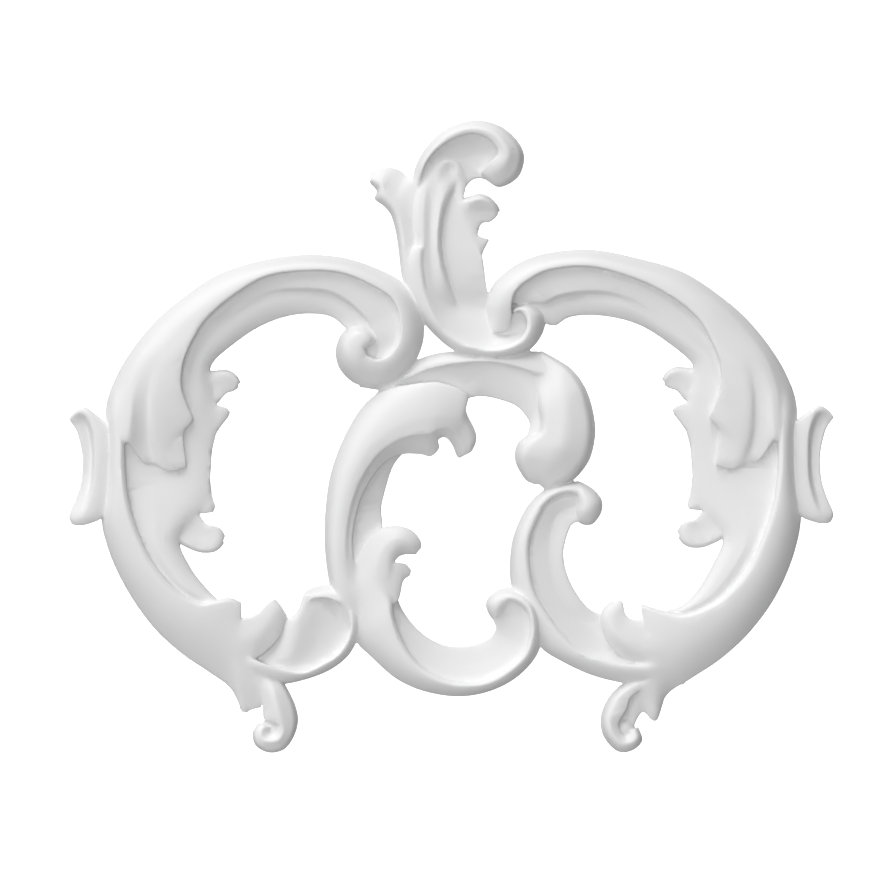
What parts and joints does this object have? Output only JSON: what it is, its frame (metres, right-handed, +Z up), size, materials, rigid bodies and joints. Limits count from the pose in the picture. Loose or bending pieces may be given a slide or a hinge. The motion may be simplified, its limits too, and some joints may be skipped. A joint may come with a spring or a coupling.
{
  "type": "moulding onlay",
  "caption": "Flat-backed openwork scroll onlay with acanthus leaves, C-scrolls, a shell and a plume, cast in one piece and fixed to a wall, panel or furniture.",
  "frame": {"origin": "the fixing point on the flat back, inside the top arc of the central scroll", "axes": "+X right as seen from the front, +Z up, the carved face looks along -Y and the flat back lies on y = 0"},
  "size_m": [0.3808, 0.0203, 0.3151],
  "materials": {
    "primed_polymer": "smooth satin white primer"
  },
  "bodies": {
    "root": {"scroll_onlay": "primed_polymer"}
  },
  "joints": []
}
